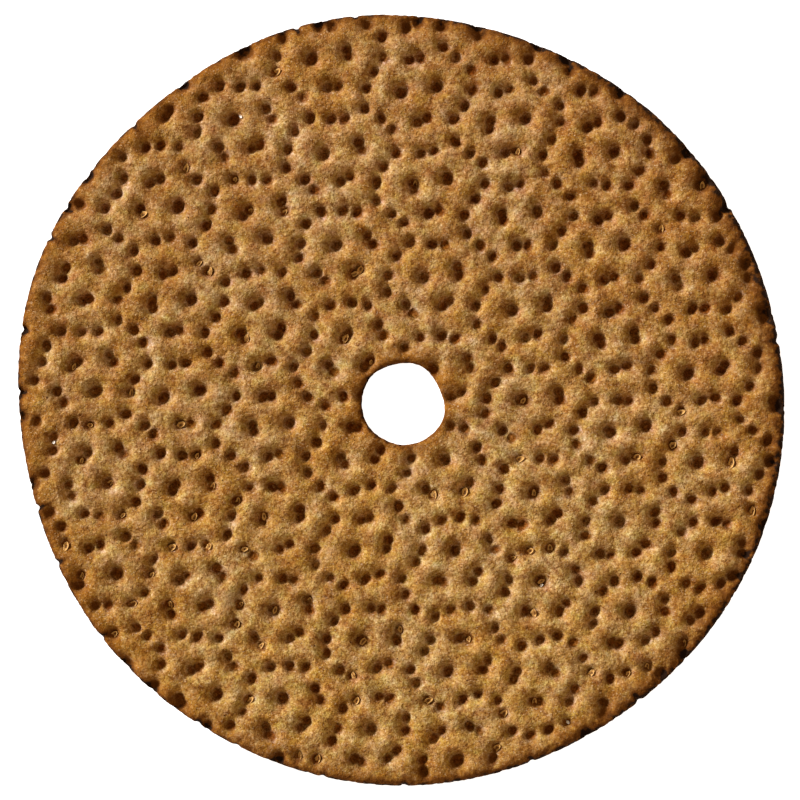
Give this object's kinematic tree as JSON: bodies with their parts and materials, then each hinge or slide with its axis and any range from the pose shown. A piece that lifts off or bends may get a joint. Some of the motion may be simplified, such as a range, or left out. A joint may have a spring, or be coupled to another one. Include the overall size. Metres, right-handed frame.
{
  "type": "round crispbread",
  "caption": "Large thin round rye crispbread with a hole near the middle, a blistered docked top, and a flat underside.",
  "frame": {"origin": "middle of the bread's outline, on the flat underside it rests on", "axes": "+Z up through the bread, out of the docked top; +Y is up and +X is right as the picture shows the top"},
  "size_m": [0.2894, 0.2912, 0.0058],
  "materials": {
    "crust": "dry baked rye crust, matt, golden brown, darker in the pits and charred at the rim",
    "husk": "thin pale bran flakes with a slight gloss"
  },
  "bodies": {
    "root": {"crispbread": "crust"}
  },
  "joints": []
}
